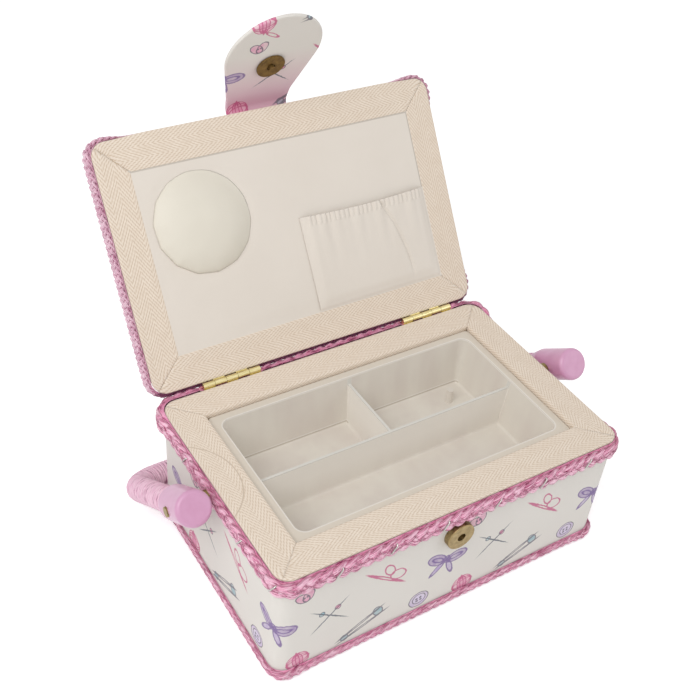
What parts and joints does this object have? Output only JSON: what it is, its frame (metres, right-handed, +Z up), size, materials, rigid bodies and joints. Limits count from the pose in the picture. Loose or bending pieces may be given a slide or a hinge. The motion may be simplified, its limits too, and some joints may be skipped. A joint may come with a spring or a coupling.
{
  "type": "sewing carrier",
  "caption": "Fabric-covered sewing carrier: padded hinged lid with snap tab, pin cushion and pocket, lift-out divided tray and a bail handle that lies behind the box.",
  "frame": {"origin": "middle of the flat base, on the surface the box stands on", "axes": "+X along the box to the right as seen from the snap side, +Y from the snap side to the hinges, +Z up; stored with the lid open on its stop, the tab bent over and the handle down behind the box"},
  "size_m": [0.2862, 0.2525, 0.2777],
  "materials": {
    "printed_cotton": "matte",
    "cotton_tape": "matte",
    "satin_lining": "satin",
    "storage_lining": "matte",
    "raffia_braid": "satin",
    "lilac_braid": "satin",
    "board": "matte",
    "card_stiffener": "matte",
    "foam": "matte",
    "tray_plastic": "satin",
    "brass_plate": "polished",
    "antique_brass": "satin",
    "steel": "satin",
    "paper_cord": "matte",
    "cap_gloss": "gloss",
    "core_tube": "matte",
    "elastic": "matte"
  },
  "bodies": {
    "box": {"base_cover": "printed_cotton", "bottom_board": "board", "front_board": "board", "back_board": "board", "left_board": "board", "right_board": "board", "corner_posts": "board", "rim_frame": "board", "rim_tape": "cotton_tape", "outer_cover": "printed_cotton", "wall_lining": "storage_lining", "floor_pad": "card_stiffener", "tray_ledges": "board", "rim_braid": "raffia_braid", "base_braid": "raffia_braid", "front_snap": "antique_brass", "front_snap_backing": "steel", "body_hinge_leaves": "brass_plate", "body_hinge_screws": "brass_plate", "hinge_pins": "brass_plate", "handle_spacers": "brass_plate", "handle_bolts": "brass_plate", "handle_nuts": "steel"},
    "lid": {"lid_board": "board", "lid_padding": "foam", "lid_cover": "printed_cotton", "lid_tape": "cotton_tape", "lid_lining": "satin_lining", "lid_braid": "lilac_braid", "pin_cushion": "satin_lining", "pocket": "satin_lining", "pocket_elastic": "elastic", "lid_hinge_leaves": "brass_plate", "lid_hinge_screws": "brass_plate", "tab_anchor": "printed_cotton"},
    "tab_fold": {"tab_link": "printed_cotton"},
    "tab_head": {"tab_card": "card_stiffener", "tab_cover": "printed_cotton", "tab_snap": "antique_brass", "tab_snap_backing": "steel"},
    "tab_end": {"tab_tip": "printed_cotton"},
    "lift_tray": {"tray": "tray_plastic"},
    "handle": {"handle_core": "core_tube", "handle_wrap": "paper_cord", "left_cap": "cap_gloss", "right_cap": "cap_gloss"}
  },
  "joints": [
    {"name": "lid_hinge", "type": "hinge", "parent": "box", "child": "lid", "pos_m": [0, 0.0758, 0.0855], "axis": [-1, 0, 0], "range_deg": [-123.7, 0]},
    {"name": "handle_raise", "type": "hinge", "parent": "box", "child": "handle", "pos_m": [0, 0.003, 0.0765], "axis": [-1, 0, 0], "range_deg": [-127.5, 0]},
    {"name": "tab_root_fold", "type": "hinge", "parent": "lid", "child": "tab_fold", "pos_m": [0, 0.17298, 0.20688], "axis": [-1, 0, 0], "range_deg": [-37, 53]},
    {"name": "tab_bend", "type": "hinge", "parent": "tab_fold", "child": "tab_head", "pos_m": [0, 0.17, 0.21537], "axis": [1, 0, 0], "range_deg": [-8, 8]},
    {"name": "tab_tip_lift", "type": "hinge", "parent": "tab_head", "child": "tab_end", "pos_m": [0, 0.15384, 0.25148], "axis": [-1, 0, 0], "range_deg": [0, 35]},
    {"name": "tray_lift", "type": "slide", "parent": "box", "child": "lift_tray", "axis": [0, 0, 1], "range_m": [0, 0.12]}
  ],
  "couplings": [
    {"joint": "handle_raise", "follows": "lid_hinge", "ratio": 1.0307}
  ]
}
